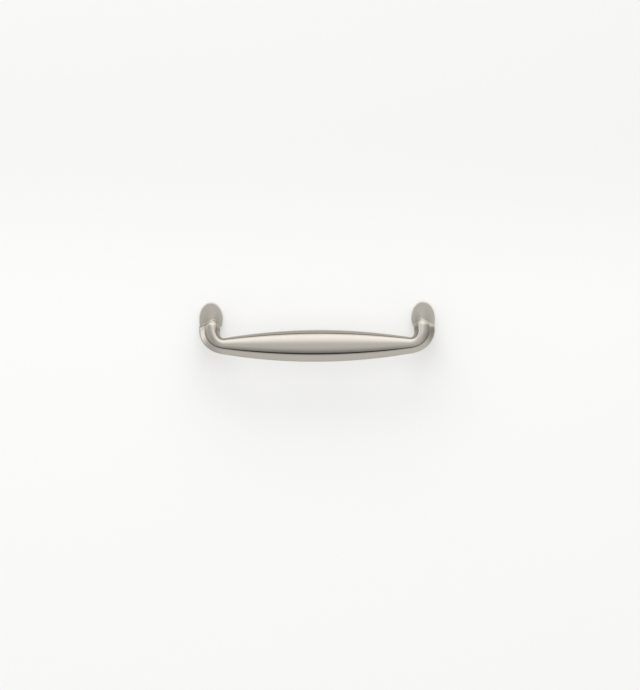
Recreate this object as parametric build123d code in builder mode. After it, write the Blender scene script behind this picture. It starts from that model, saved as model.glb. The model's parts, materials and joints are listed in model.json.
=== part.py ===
from build123d import *
import os
from math import atan2, cos, degrees, radians, sin

# Drop pull: one casting. Two oval feet stand flat on a drawer front. A leg runs out
# of the lower half of each foot, turns down at an elbow and round a corner into the
# broad bar that joins the two legs. The front carries a dome between two flat rims.
# Frame: X along the bar, +Z up. The drawer front is the plane Y = 0, the pull stands
# out towards -Y, and the origin is midway between the two screw holes.

# Driving dimensions, in millimetres
screw_spacing = 101.6
projection = 25.4

# Feet
foot_width = 11.2
foot_height = 15.4
foot_thickness = 2.2
foot_edge_round = 0.5
foot_centre_rise = 4.2

# Screw hole in the back of each foot
hole_diameter = 3.5
hole_depth = 11.0
hole_mouth_chamfer = 0.4

# Cross section of the leg
leg_width = 9.9
leg_outer_rim = 2.8
leg_inner_rim = 2.0
leg_outer_fall = 1.6
leg_inner_fall = 0.7
leg_dome_height = 1.5
leg_crest_shift = 0.65
leg_back_depth = 4.3
root_width = 9.2
root_shift = 0.3
root_outer_fall = 0.8
root_back_depth = 4.6

# Cross section at the waist, where the corner meets the bar
waist_width = 7.9
waist_outer_rim = 2.9
waist_inner_rim = 0.95
waist_outer_fall = 0.35
waist_inner_fall = 0.1
waist_dome_height = 1.5
waist_back_depth = 3.8

# Cross section at the middle of the bar
bar_width = 15.1
bar_outer_rim = 3.7
bar_inner_rim = 1.6
bar_outer_fall = 0.25
bar_inner_fall = 0.1
bar_dome_height = 2.5
bar_back_depth = 3.8

# Edges of every section: the round at a rim's edge and the straight side behind it
rim_edge_round = 0.3
side_height = 0.8

# Path of the leg and the bar
leg_rim_rise = 1.8
elbow_setback = 1.85
leg_even_length = 4.0
leg_drop = 2.0
leg_lean = 1.2
corner_radius = 7.2

# Cross sections set out round each corner and along each half of the bar
corner_steps = 7
bar_steps = 7

# Places that follow from the sizes above
foot_x = screw_spacing / 2
corner_length = corner_radius * radians(90)
lean_length = leg_drop + corner_length
lean_angle = atan2(2 * leg_lean, lean_length)
rim_y = -(projection - bar_dome_height)
elbow_y = rim_y + leg_lean + elbow_setback * cos(lean_angle)
elbow_z = leg_rim_rise - elbow_setback
corner_x = foot_x - corner_radius
corner_z = elbow_z + elbow_setback * sin(lean_angle) - leg_drop
bar_z = corner_z - corner_radius


def along_bar(middle, end, share):
    """Size of a section on the bar: an even bow from the middle (0) out to its end (1)."""
    return middle + (end - middle) * share**2


def round_corner(leg, waist, middle, share):
    """Size of a section in the corner: level at the leg (0), with the bar's slope at its end (1)."""
    end_slope = 2 * (middle - waist) * corner_length / corner_x
    eased = share**2 * (3 - 2 * share)
    return leg + (waist - leg) * eased + end_slope * (share**3 - share**2)


# Sizes of a section: width, rims, how far the rims fall back, dome height, how far the
# dome's crest lies inward of its middle, back depth
leg_shape = (
    leg_width,
    leg_outer_rim,
    leg_inner_rim,
    leg_outer_fall,
    leg_inner_fall,
    leg_dome_height,
    leg_crest_shift,
    leg_back_depth,
)
root_shape = (
    root_width,
    leg_outer_rim,
    leg_inner_rim,
    root_outer_fall,
    leg_inner_fall,
    leg_dome_height,
    leg_crest_shift,
    root_back_depth,
)
waist_shape = (
    waist_width,
    waist_outer_rim,
    waist_inner_rim,
    waist_outer_fall,
    waist_inner_fall,
    waist_dome_height,
    0,
    waist_back_depth,
)
bar_shape = (
    bar_width,
    bar_outer_rim,
    bar_inner_rim,
    bar_outer_fall,
    bar_inner_fall,
    bar_dome_height,
    0,
    bar_back_depth,
)

# Left leg, from inside the foot to the elbow
root_x = -foot_x - root_shift
root_place = Plane((root_x, -foot_thickness / 2, leg_rim_rise), (1, 0, 0), (0, -1, 0))
neck_place = Plane((-foot_x, elbow_y + leg_even_length, leg_rim_rise), (1, 0, 0), (0, -1, 0))
elbow_place = Plane((-foot_x, elbow_y, leg_rim_rise), (1, 0, 0), (0, -1, 0))
leg_sections = [(root_place, root_shape), (neck_place, leg_shape), (elbow_place, leg_shape)]
elbow_axis = Axis((-foot_x, elbow_y, elbow_z), (1, 0, 0))

# Left elbow round the corner and along the bar, then the same back up the right side
elbow_end = (-foot_x, rim_y + leg_lean, corner_z + leg_drop)
elbow_slope = (0, -2 * leg_lean / lean_length, -1)
bar_sections = [(Plane(elbow_end, (1, 0, 0), elbow_slope), leg_shape)]
for step in range(corner_steps + 1):
    share = step / corner_steps
    turn = radians(90) * share
    left = (1 - share) * corner_length / lean_length
    inward = (cos(turn), 0, sin(turn))
    along = (sin(turn), -2 * leg_lean * left / lean_length, -cos(turn))
    centre_x = -corner_x - corner_radius * cos(turn)
    centre_z = corner_z - corner_radius * sin(turn)
    place = Plane((centre_x, rim_y + leg_lean * left**2, centre_z), inward, along)
    shape = [round_corner(*sizes, share) for sizes in zip(leg_shape, waist_shape, bar_shape)]
    bar_sections.append((place, shape))
for step in range(1, bar_steps + 1):
    share = 1 - step / bar_steps
    place = Plane((-corner_x * share, rim_y, bar_z), (0, 0, 1), (1, 0, 0))
    shape = [along_bar(*sizes, share) for sizes in zip(bar_shape, waist_shape)]
    bar_sections.append((place, shape))
for place, shape in reversed(bar_sections[:-1]):
    origin = (-place.origin.X, place.origin.Y, place.origin.Z)
    inward = (-place.x_dir.X, 0, place.x_dir.Z)
    along = (place.z_dir.X, -place.z_dir.Y, -place.z_dir.Z)
    bar_sections.append((Plane(origin, inward, along), shape))


def outline(
    width, outer_rim, inner_rim, outer_fall, inner_fall, dome_height, crest_shift, back_depth
):
    """Closed outline of the casting: rims and dome in front, a rounded back behind."""
    outer = -width / 2
    inner = width / 2
    dome_start = outer + outer_rim
    dome_end = inner - inner_rim
    dome_reach = (dome_end - dome_start) / 2
    # Handles of the dome's curve: a round arch, with its crest shifted inward
    handle_rise = dome_height * 4 / 3
    handle_run = (dome_reach - dome_height**2 / dome_reach) * 2 / 3
    outer_handle = (dome_start + handle_run + crest_shift * 4 / 3, handle_rise)
    inner_handle = (dome_end - handle_run + crest_shift * 4 / 3, handle_rise)
    outer_edge = -outer_fall - rim_edge_round
    inner_edge = -inner_fall - rim_edge_round
    outer_back = outer_edge - side_height
    inner_back = inner_edge - side_height
    with BuildLine(mode=Mode.PRIVATE) as edge:
        Line((outer + rim_edge_round, -outer_fall), (dome_start, 0))
        Bezier((dome_start, 0), outer_handle, inner_handle, (dome_end, 0))
        Line((dome_end, 0), (inner - rim_edge_round, -inner_fall))
        CenterArc((inner - rim_edge_round, inner_edge), rim_edge_round, 0, 90)
        Line((inner, inner_edge), (inner, inner_back))
        EllipticalCenterArc(
            (0, inner_back), inner, back_depth + inner_back, start_angle=270, arc_size=90
        )
        EllipticalCenterArc(
            (0, outer_back), inner, back_depth + outer_back, start_angle=180, arc_size=90
        )
        Line((outer, outer_back), (outer, outer_edge))
        CenterArc((outer + rim_edge_round, outer_edge), rim_edge_round, 90, 90)
    return edge.wires()[0]


with BuildPart() as pull:
    # Foot and leg of the left side
    with BuildSketch(Plane.XZ) as foot:
        with Locations((-foot_x, foot_centre_rise)):
            Ellipse(foot_width / 2, foot_height / 2)
    extrude(amount=foot_thickness)
    fillet(pull.faces().sort_by(Axis.Y)[0].edges(), foot_edge_round)
    for place, shape in leg_sections:
        with BuildSketch(place) as section:
            with BuildLine():
                add(outline(*shape))
            make_face()
    loft(ruled=True)
    with BuildSketch(elbow_place) as shoulder:
        with BuildLine():
            add(outline(*leg_shape))
        make_face()
        with Locations((0, -elbow_setback)):
            Rectangle(leg_width, projection, align=(Align.CENTER, Align.MIN), mode=Mode.INTERSECT)
    revolve(axis=elbow_axis, revolution_arc=90 - degrees(lean_angle))
    mirror(about=Plane.YZ)

    # Both corners and the bar
    for place, shape in bar_sections:
        with BuildSketch(place) as section:
            with BuildLine():
                add(outline(*shape))
            make_face()
    loft()

    # Blind screw holes in the backs of the feet, each with a chamfered mouth
    with BuildSketch(Plane.XZ) as holes:
        with Locations((-foot_x, 0), (foot_x, 0)):
            Circle(hole_diameter / 2)
    extrude(amount=hole_depth, mode=Mode.SUBTRACT)
    with BuildSketch(Plane.XZ) as mouths:
        with Locations((-foot_x, 0), (foot_x, 0)):
            Circle(hole_diameter / 2 + hole_mouth_chamfer)
    extrude(amount=hole_mouth_chamfer, taper=45, mode=Mode.SUBTRACT)

pull.part.label = "pull"
os.makedirs("parts", exist_ok=True)
export_step(pull.part, "parts/pull.step")
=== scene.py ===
"""Looks of the drop pull: a one-piece satin nickel casting on a pale upright surface."""

import json
import logging
import math
from dataclasses import astuple, dataclass, field, fields
from enum import Enum
from typing import Any, Callable, Dict, List, Optional, Sequence, Tuple, Union

import bpy
import numpy as np
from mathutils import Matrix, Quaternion, Vector

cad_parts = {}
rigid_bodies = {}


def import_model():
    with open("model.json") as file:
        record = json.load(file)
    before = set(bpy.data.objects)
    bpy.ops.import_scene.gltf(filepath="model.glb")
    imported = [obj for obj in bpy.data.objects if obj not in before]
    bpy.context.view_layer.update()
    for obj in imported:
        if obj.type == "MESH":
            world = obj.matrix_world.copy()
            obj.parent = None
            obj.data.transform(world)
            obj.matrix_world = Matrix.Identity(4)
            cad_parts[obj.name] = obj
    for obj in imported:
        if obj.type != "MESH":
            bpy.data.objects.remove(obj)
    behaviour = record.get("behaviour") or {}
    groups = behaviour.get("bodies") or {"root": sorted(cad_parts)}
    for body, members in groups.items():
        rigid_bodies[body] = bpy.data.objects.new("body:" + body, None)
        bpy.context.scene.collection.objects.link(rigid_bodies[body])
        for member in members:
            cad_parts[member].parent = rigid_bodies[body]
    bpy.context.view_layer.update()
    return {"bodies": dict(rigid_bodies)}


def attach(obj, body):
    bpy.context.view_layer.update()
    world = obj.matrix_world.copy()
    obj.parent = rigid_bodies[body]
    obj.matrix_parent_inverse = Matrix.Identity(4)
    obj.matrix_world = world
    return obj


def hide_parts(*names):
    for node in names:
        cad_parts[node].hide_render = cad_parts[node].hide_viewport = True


LOG = logging.getLogger("drop_pull")
MM = 0.001
QUARTER_TURN = math.pi / 2
# A cubic curve's middle lies 3/4 of the way out to its two handles
HANDLE_REACH = 4 / 3

Colour = Tuple[float, float, float]
Span = Tuple[float, float]
Number = Union[float, np.ndarray]
Feed = Union[float, int, bpy.types.NodeSocket]
Feeds = Dict[Union[int, str], Any]


# Tools for node trees


class SocketKind(Enum):
    """Kinds of socket on a node tree's interface."""

    GEOMETRY = "NodeSocketGeometry"
    MATERIAL = "NodeSocketMaterial"
    FLOAT = "NodeSocketFloat"
    INTEGER = "NodeSocketInt"
    VECTOR = "NodeSocketVector"


class Blend(Enum):
    """Kinds of value that a Mix node mixes: its data type and the type of its sockets."""

    NUMBER = ("FLOAT", "VALUE")
    VECTOR = ("VECTOR", "VECTOR")
    COLOUR = ("RGBA", "RGBA")


class Wires:
    """Places nodes in a tree and joins them up."""

    def __init__(self, tree: bpy.types.NodeTree) -> None:
        """Keeps the tree that the nodes go into.

        Args:
            tree: The node tree to build in.
        """
        self.tree = tree

    def feed(self, socket: bpy.types.NodeSocket, value: Any) -> None:
        """Links a socket to another one, or gives it a plain value.

        Args:
            socket: The input socket.
            value: A socket to link from, or the value to set.
        """
        if isinstance(value, bpy.types.NodeSocket):
            self.tree.links.new(value, socket)
        else:
            socket.default_value = value

    def node(self, kind: str, feeds: Optional[Feeds] = None, **settings: Any) -> bpy.types.Node:
        """Adds a node.

        Args:
            kind: Blender's name for the node's type.
            feeds: What goes into its inputs, by their names or numbers.
            **settings: Properties to set on the node.

        Returns:
            The new node.
        """
        made = self.tree.nodes.new(kind)
        for name, value in settings.items():
            setattr(made, name, value)
        for key, value in (feeds or {}).items():
            self.feed(made.inputs[key], value)
        return made

    def math(self, operation: str, *values: Feed) -> bpy.types.NodeSocket:
        """Adds a Math node, in a shader tree or a geometry tree.

        Args:
            operation: The node's operation, such as "ADD".
            *values: Numbers or sockets for its inputs.

        Returns:
            The node's result.
        """
        made = self.node("ShaderNodeMath", dict(enumerate(values)), operation=operation)
        return made.outputs[0]

    def rescale(
        self, value: Feed, start: Span, end: Span = (0.0, 1.0), smooth: bool = False
    ) -> bpy.types.NodeSocket:
        """Maps a value from one range to another, and holds it inside the second.

        Args:
            value: The value to map.
            start: Lowest and highest value going in.
            end: The two values that come out for them.
            smooth: Whether the change eases in and out.

        Returns:
            The mapped value.
        """
        kind = "SMOOTHSTEP" if smooth else "LINEAR"
        feeds = dict(enumerate((value, *start, *end)))
        return self.node("ShaderNodeMapRange", feeds, interpolation_type=kind).outputs[0]

    def ramp(self, value: Feed, stops: Sequence[Span]) -> bpy.types.NodeSocket:
        """Reads a level off a ramp.

        Args:
            value: Where to read it, from -1 to 1.
            stops: Places on the ramp and the level at each.

        Returns:
            The level.
        """
        top = max(level for _, level in stops)
        made = self.node("ShaderNodeValToRGB", {0: self.rescale(value, (-1.0, 1.0))})
        points = made.color_ramp.elements
        while len(points) < len(stops):
            points.new(0.5)
        for point, (place, level) in zip(points, stops):
            point.position = (place + 1) / 2
            point.color = (level / top, level / top, level / top, 1.0)
        return self.math("MULTIPLY", made.outputs["Color"], top)

    def mix(self, kind: Blend, share: Feed, low: Any, high: Any) -> bpy.types.NodeSocket:
        """Mixes two values.

        Args:
            kind: What kind of values they are.
            share: 0 gives the first value and 1 the second.
            low: The first value, as a socket, or as red, green and blue.
            high: The second value.

        Returns:
            The mixed value.
        """
        data_type, socket_type = kind.value
        made = self.node("ShaderNodeMix", {0: share}, data_type=data_type)
        for name, value in (("A", low), ("B", high)):
            socket = next(s for s in made.inputs if s.name == name and s.type == socket_type)
            self.feed(socket, (*value, 1.0) if isinstance(value, tuple) else value)
        return next(s for s in made.outputs if s.type == socket_type)

    def tint(self, share: Feed, low: Any, high: Any) -> bpy.types.NodeSocket:
        """Mixes two colours."""
        return self.mix(Blend.COLOUR, share, low, high)

    def hand_over(self, geometry: bpy.types.NodeSocket, entry: bpy.types.Node) -> None:
        """Ends a geometry tree: makes instances real, sets the finish and puts the result out.

        Args:
            geometry: The geometry to hand over.
            entry: The tree's input node, which has the finish.
        """
        real = self.node("GeometryNodeRealizeInstances", {"Geometry": geometry})
        feeds = {"Geometry": real.outputs["Geometry"], "Material": entry.outputs["Finish"]}
        coat = self.node("GeometryNodeSetMaterial", feeds)
        self.node("NodeGroupOutput", {"Geometry": coat.outputs["Geometry"]})


def new_group(
    name: str, tree_kind: str, inputs: Dict[str, SocketKind], outputs: Dict[str, SocketKind]
) -> Tuple[Wires, bpy.types.Node]:
    """Starts a node group with its interface.

    Args:
        name: The group's name.
        tree_kind: "GeometryNodeTree" or "ShaderNodeTree".
        inputs: Names and kinds of the inputs.
        outputs: Names and kinds of the outputs.

    Returns:
        The wires of the new tree, and its input node.
    """
    tree = bpy.data.node_groups.new(name, tree_kind)
    for in_out, sockets in (("INPUT", inputs), ("OUTPUT", outputs)):
        for label, kind in sockets.items():
            tree.interface.new_socket(name=label, in_out=in_out, socket_type=kind.value)
    wires = Wires(tree)
    return wires, wires.node("NodeGroupInput")


def grow(obj: bpy.types.Object, tree: bpy.types.NodeTree, values: Dict[str, Any]) -> None:
    """Runs a geometry tree on an object and keeps the result as its plain mesh, with no modifier.

    Args:
        obj: The object to run the tree on.
        tree: The geometry node tree.
        values: Values for the tree's named inputs.
    """
    modifier = obj.modifiers.new(tree.name, "NODES")
    modifier.node_group = tree
    for item in tree.interface.items_tree:
        if item.item_type == "SOCKET" and item.in_out == "INPUT" and item.name in values:
            modifier[item.identifier] = values[item.name]
    graph = bpy.context.evaluated_depsgraph_get()
    graph.update()
    grown, start = bpy.data.meshes.new_from_object(obj.evaluated_get(graph)), obj.data
    obj.modifiers.remove(modifier)
    obj.data = grown
    bpy.data.meshes.remove(start)


def add_object(name: str, data: bpy.types.ID) -> bpy.types.Object:
    """Puts a new object in the scene.

    Args:
        name: The object's name.
        data: Its mesh, light or camera.

    Returns:
        The object, at the origin.
    """
    obj = bpy.data.objects.new(name, data)
    bpy.context.scene.collection.objects.link(obj)
    return obj


# Finishes


@dataclass(frozen=True)
class BrushedGrain:
    """Fine brushed grain and slow clouding, which every metal finish shares.

    Attributes:
        turn_span: Distances from the middle between which the grain turns, in millimetres.
        noise_span: The part of a noise's range that is spread over 0 to 1.
        line_detail: Finer layers in the grain's noise.
        line_roughness: Strength of each finer layer in the grain.
        cloud_detail: Finer layers in the clouding's noise.
    """

    turn_span: Span = (43.0, 49.0)
    noise_span: Span = (0.3, 0.7)
    line_detail: float = 3.0
    line_roughness: float = 0.6
    cloud_detail: float = 2.0

    def group(self) -> bpy.types.NodeTree:
        """Builds the shader node group.

        Returns:
            The group. It puts out the grain and the clouding, both from 0 to 1.
        """
        wires, entry = new_group(
            "brushed_grain",
            "ShaderNodeTree",
            {
                "Place": SocketKind.VECTOR,
                "Lines": SocketKind.FLOAT,
                "Stretch": SocketKind.FLOAT,
                "Cloud": SocketKind.FLOAT,
            },
            {"Grain": SocketKind.FLOAT, "Clouds": SocketKind.FLOAT},
        )
        place = entry.outputs["Place"]
        parts = wires.node("ShaderNodeSeparateXYZ", {0: place}).outputs
        # The casting is brushed along the bar, and across it on the legs and feet
        start, end = self.turn_span
        distance = wires.math("ABSOLUTE", parts["X"])
        on_leg = wires.rescale(distance, (start * MM, end * MM), smooth=True)
        grains = []
        for long_axis in ("X", "Z"):
            spot = {axis: parts[axis] for axis in ("X", "Y", "Z")}
            spot[long_axis] = wires.math("DIVIDE", parts[long_axis], entry.outputs["Stretch"])
            feeds = {
                "Vector": wires.node("ShaderNodeCombineXYZ", spot).outputs[0],
                "Scale": entry.outputs["Lines"],
                "Detail": self.line_detail,
                "Roughness": self.line_roughness,
            }
            grains.append(wires.node("ShaderNodeTexNoise", feeds).outputs[0])
        grain = wires.mix(Blend.NUMBER, on_leg, *grains)
        feeds = {"Vector": place, "Scale": entry.outputs["Cloud"], "Detail": self.cloud_detail}
        clouds = wires.node("ShaderNodeTexNoise", feeds).outputs[0]
        feeds = {
            "Grain": wires.rescale(grain, self.noise_span),
            "Clouds": wires.rescale(clouds, self.noise_span),
        }
        wires.node("NodeGroupOutput", feeds)
        return wires.tree


@dataclass(frozen=True)
class MetalFinish:
    """A brushed metal with grain, slow clouding and rubbed edges, with painted shade and painted
    highlights.

    Attributes:
        name: The material's name.
        colour: Colour of the plain metal.
        painted_shade_colour: Colour of the painted shade over the darkened parts of the casting.
        crease_shade_colour: Colour of the painted shade in the depth of a crease.
        edge_wear_and_highlight_colour: Colour of a rubbed edge, and of the painted highlights beside
            the outer crease and on the crest.
        smoothest: Lowest roughness.
        roughest: Highest roughness outside a crease.
        crease_roughness: Roughness that a crease adds.
        lines: How fine the grain is.
        stretch: How many times longer than wide the grain is.
        cloud: How fine the clouding is.
        grain_depth: Depth of the grain, in metres.
        dark_grain: Brightness of the darkest grain next to the plain metal.
        grain_share: How strongly the grain darkens the metal.
    """

    name: str
    colour: Colour
    painted_shade_colour: Colour
    crease_shade_colour: Colour
    edge_wear_and_highlight_colour: Colour
    smoothest: float
    roughest: float
    crease_roughness: float
    lines: float
    stretch: float
    cloud: float
    grain_depth: float
    dark_grain: float = 0.94
    grain_share: float = 0.6

    def material(self, group: bpy.types.NodeTree) -> bpy.types.Material:
        """Builds the finish.

        Args:
            group: The shared group for brushed grain.

        Returns:
            The finished material.
        """
        made = bpy.data.materials.new(self.name)
        made.use_nodes = True
        wires = Wires(made.node_tree)
        metal = made.node_tree.nodes["Principled BSDF"].inputs
        metal["Metallic"].default_value = 1.0
        feeds = {
            "Place": wires.node("ShaderNodeTexCoord").outputs["Object"],
            "Lines": self.lines,
            "Stretch": self.stretch,
            "Cloud": self.cloud,
        }
        grain, clouds = wires.node("ShaderNodeGroup", feeds, node_tree=group).outputs
        painted_shade, crease, edge = (
            wires.node("ShaderNodeAttribute", attribute_name=name).outputs["Fac"]
            for name in ("painted_shade", "crease", "edge")
        )
        darker = tuple(self.dark_grain * part for part in self.colour)
        body = wires.tint(wires.math("MULTIPLY", grain, self.grain_share), self.colour, darker)
        # Painted shade: a darker colour over the feet, the legs' rims, flanks and crests, and the inner
        # rim of the bar
        shaded = wires.tint(painted_shade, body, self.painted_shade_colour)
        # Painted highlight: a brighter colour on the outer rim beside the crease and on the crest,
        # together with the rubbed edges
        brightened = wires.tint(edge, shaded, self.edge_wear_and_highlight_colour)
        # Painted shade darkens the creases
        wires.feed(metal["Base Color"], wires.tint(crease, brightened, self.crease_shade_colour))
        mean = wires.math("MULTIPLY", wires.math("ADD", grain, clouds), 0.5)
        rough = wires.rescale(mean, (0.0, 1.0), (self.smoothest, self.roughest))
        roughness = wires.math("MULTIPLY_ADD", crease, self.crease_roughness, rough)
        wires.feed(metal["Roughness"], roughness)
        feeds = {"Strength": 1.0, "Distance": self.grain_depth, "Height": grain}
        wires.feed(metal["Normal"], wires.node("ShaderNodeBump", feeds).outputs[0])
        return made


SATIN_NICKEL = MetalFinish(
    name="satin_nickel",
    colour=(0.660, 0.622, 0.566),
    painted_shade_colour=(0.275, 0.255, 0.225),
    crease_shade_colour=(0.03, 0.022, 0.016),
    edge_wear_and_highlight_colour=(0.76, 0.725, 0.665),
    smoothest=0.27,
    roughest=0.36,
    crease_roughness=0.10,
    lines=9000.0,
    stretch=22.0,
    cloud=160.0,
    grain_depth=0.0016 * MM,
)
TAPPED_METAL = MetalFinish(
    name="tapped_metal",
    colour=(0.70, 0.63, 0.50),
    painted_shade_colour=(0.56, 0.50, 0.40),
    crease_shade_colour=(0.45, 0.39, 0.30),
    edge_wear_and_highlight_colour=(0.75, 0.69, 0.57),
    smoothest=0.18,
    roughest=0.30,
    crease_roughness=0.10,
    lines=6000.0,
    stretch=3.0,
    cloud=400.0,
    grain_depth=0.001 * MM,
)


# Shape of the casting


def ease(share: Number) -> Number:
    """Eases a share in and out.

    Args:
        share: The share, from 0 to 1.

    Returns:
        The eased share, from 0 to 1.
    """
    return share**2 * (3 - 2 * share)


def step_ends(count: int) -> np.ndarray:
    """Cuts a way into even steps.

    Args:
        count: Number of steps.

    Returns:
        The share of the way at which each step ends.
    """
    return np.linspace(0, 1, count + 1)[1:]


class Band(Enum):
    """Bands that the casting's outline runs through, in order round it."""

    OUTER_EDGE = "outer edge"
    OUTER_RIM = "outer rim"
    DOME = "dome"
    INNER_RIM = "inner rim"
    INNER_EDGE = "inner edge"
    INNER_SIDE = "inner side"
    BACK = "back"
    OUTER_SIDE = "outer side"


class Stretch(Enum):
    """Stretches of rings along half of the casting, in order from the foot."""

    ROOT = "fillet round the leg's root"
    RUN = "leg, out to the elbow"
    ELBOW = "elbow"
    FALL = "leg, below the elbow"
    CORNER = "corner"
    BAR = "bar, to its middle"


@dataclass(frozen=True)
class Section:
    """Sizes of the casting's cross section, in millimetres.

    Attributes:
        width: Width of the section.
        outer_rim: Width of the outer rim.
        inner_rim: Width of the inner rim.
        outer_fall: How far the outer rim falls back at its edge.
        inner_fall: The same for the inner rim.
        dome_height: Height of the dome over the rims.
        crest_shift: How far the dome's crest lies inward of its middle.
        back_depth: Depth of the back behind the rims.
    """

    width: float
    outer_rim: float
    inner_rim: float
    outer_fall: float
    inner_fall: float
    dome_height: float
    crest_shift: float
    back_depth: float

    def sizes(self) -> np.ndarray:
        """Gives the eight sizes as an array."""
        return np.array(astuple(self))


SIZE_NAMES = [size.name for size in fields(Section)]
OUTER_FALL = SIZE_NAMES.index("outer_fall")
CREST_SHIFT = SIZE_NAMES.index("crest_shift")


@dataclass(frozen=True)
class Outline:
    """The closed outline of the cross section, as a fixed number of points.

    Attributes:
        edge_round: Radius of the round between a rim and the side, in millimetres.
        side_height: Height of the straight side behind a rim, in millimetres.
        edge_steps: Points round each edge.
        outer_rim_steps: Points over the outer rim.
        dome_steps: Points over the dome.
        inner_rim_steps: Points over the inner rim.
        side_steps: Points down each side.
        back_steps: Points round the back.
        flank_ease: How much flatter the dome's outer flank is, for a crest shift of 1 mm.
        flank_lift: How much of that the inner flank gains in height.
        outer_crease: Share of the dome over which its outer crease fades.
        inner_crease: Share of the dome over which its inner crease fades.
        rim_crease: Share of the outer rim over which the outer crease fades.
        inner_rim_crease: Share of the inner rim over which the inner crease fades.
        soft_from: Strength of the crease mark from which a point is rounded in full.
        flank_span: Shares of the dome over which the mark for its outer flank fades.
        crest_span: Shares of the dome over which the mark for its crest comes in.
        rim_highlight: Strength of the painted highlight on the outer rim beside the crease.
        edge_wear: How rubbed the two edges are.
    """

    edge_round: float = 0.3
    side_height: float = 0.8
    edge_steps: int = 5
    outer_rim_steps: int = 8
    dome_steps: int = 40
    inner_rim_steps: int = 6
    side_steps: int = 3
    back_steps: int = 30
    flank_ease: float = 0.85
    flank_lift: float = 0.8
    outer_crease: float = 0.10
    inner_crease: float = 0.04
    rim_crease: float = 0.11
    inner_rim_crease: float = 0.12
    soft_from: float = 0.5
    flank_span: Span = (0.2, 0.48)
    crest_span: Span = (0.4, 0.6)
    rim_highlight: float = 0.8
    edge_wear: float = 0.3

    def places(self) -> List[Tuple[Band, float]]:
        """Names the band and the share along it of every point.

        Returns:
            One (band, share) pair a point, in order round the outline.
        """
        counts = {
            Band.OUTER_EDGE: self.edge_steps,
            Band.OUTER_RIM: self.outer_rim_steps,
            Band.DOME: self.dome_steps,
            Band.INNER_RIM: self.inner_rim_steps,
            Band.INNER_EDGE: self.edge_steps,
            Band.INNER_SIDE: self.side_steps,
            Band.BACK: self.back_steps,
            Band.OUTER_SIDE: self.side_steps,
        }
        return [(band, step / count) for band, count in counts.items() for step in range(count)]

    def points(self, sizes: np.ndarray) -> np.ndarray:
        """Places the outline's points, each with its own sizes.

        Args:
            sizes: One row of eight section sizes a point.

        Returns:
            One row a point: how far inward and how far to the front it lies.
        """
        placed = np.zeros((len(sizes), 2))
        for row, (band, share) in enumerate(self.places()):
            placed[row] = self.point(band, share, Section(*sizes[row]))
        return self.soften(placed)

    def point(self, band: Band, share: float, size: Section) -> Tuple[float, float]:
        """Places one point of the outline.

        Args:
            band: The band that it lies on.
            share: How far along that band, from 0 to 1.
            size: Sizes of the section at the point.

        Returns:
            How far inward and how far to the front the point lies.
        """
        half = size.width / 2
        round_x, turn = half - self.edge_round, QUARTER_TURN * share
        outer_y, inner_y = -size.outer_fall - self.edge_round, -size.inner_fall - self.edge_round
        outer_back, inner_back = outer_y - self.side_height, inner_y - self.side_height
        if band is Band.OUTER_EDGE:
            return (
                -round_x - self.edge_round * math.cos(turn),
                outer_y + self.edge_round * math.sin(turn),
            )
        if band is Band.OUTER_RIM:
            rim = size.outer_rim - self.edge_round
            return -round_x + rim * share, -size.outer_fall * (1 - share)
        if band is Band.DOME:
            return self.dome_point(share, size)
        if band is Band.INNER_RIM:
            rim = size.inner_rim - self.edge_round
            return round_x - rim * (1 - share), -size.inner_fall * share
        if band is Band.INNER_EDGE:
            return (
                round_x + self.edge_round * math.sin(turn),
                inner_y + self.edge_round * math.cos(turn),
            )
        if band is Band.INNER_SIDE:
            return half, inner_y - self.side_height * share
        if band is Band.BACK:
            angle = math.pi * share
            start = inner_back if share < 0.5 else outer_back
            return half * math.cos(angle), start - (size.back_depth + start) * math.sin(angle)
        return -half, outer_back + self.side_height * share

    def dome_point(self, share: float, size: Section) -> Tuple[float, float]:
        """Places one point of the dome, a cubic curve whose crest is shifted inward.

        Args:
            share: How far along the curve from its outer foot, from 0 to 1.
            size: Sizes of the section at the point.

        Returns:
            How far inward and how far to the front the point lies.
        """
        start, end = size.outer_rim - size.width / 2, size.width / 2 - size.inner_rim
        reach = (end - start) / 2
        # Handles that give a round arch where the crest isn't shifted
        run = (reach - size.dome_height**2 / reach) / 2 * HANDLE_REACH
        lead = size.crest_shift * HANDLE_REACH
        flatter = self.flank_ease * size.crest_shift
        rest, between = 1 - share, 3 * share * (1 - share)
        handles = rest * (start + run + lead) + share * (end - run + lead)
        rises = rest * (1 - flatter) + share * (1 + self.flank_lift * flatter)
        return (
            rest**3 * start + between * handles + share**3 * end,
            between * rises * size.dome_height * HANDLE_REACH,
        )

    def soften(self, placed: np.ndarray) -> np.ndarray:
        """Rounds the two creases where the dome meets the rims, as a casting does.

        Args:
            placed: The outline's points.

        Returns:
            The points with soft creases.
        """
        weights = np.minimum(1.0, self.marks()["crease"] / self.soft_from)[:, None]
        mean = (np.roll(placed, 1, axis=0) + 2 * placed + np.roll(placed, -1, axis=0)) / 4
        return placed + (mean - placed) * weights

    def marks(self) -> Dict[str, np.ndarray]:
        """Marks the outline's parts for the finish: painted shade, painted highlights, rubbed edges and
        the creases, which are also softened.

        Returns:
            For each kind of mark, how strong it is at every point, from 0 to 1.
        """
        names = ("crease", "edge", "outer_rim", "flank", "crest", "inner_rim")
        places = self.places()
        marked = {name: np.zeros(len(places)) for name in names}
        for row, (band, share) in enumerate(places):
            if band is Band.DOME:
                outer = math.exp(-((share / self.outer_crease) ** 2))
                marked["crease"][row] = outer + math.exp((share - 1) / self.inner_crease)
                marked["flank"][row] = np.interp(share, self.flank_span, (1.0, 0.0))
                marked["crest"][row] = np.interp(share, self.crest_span, (0.0, 1.0))
            elif band is Band.OUTER_RIM:
                marked["crease"][row] = math.exp((share - 1) / self.rim_crease)
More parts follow.
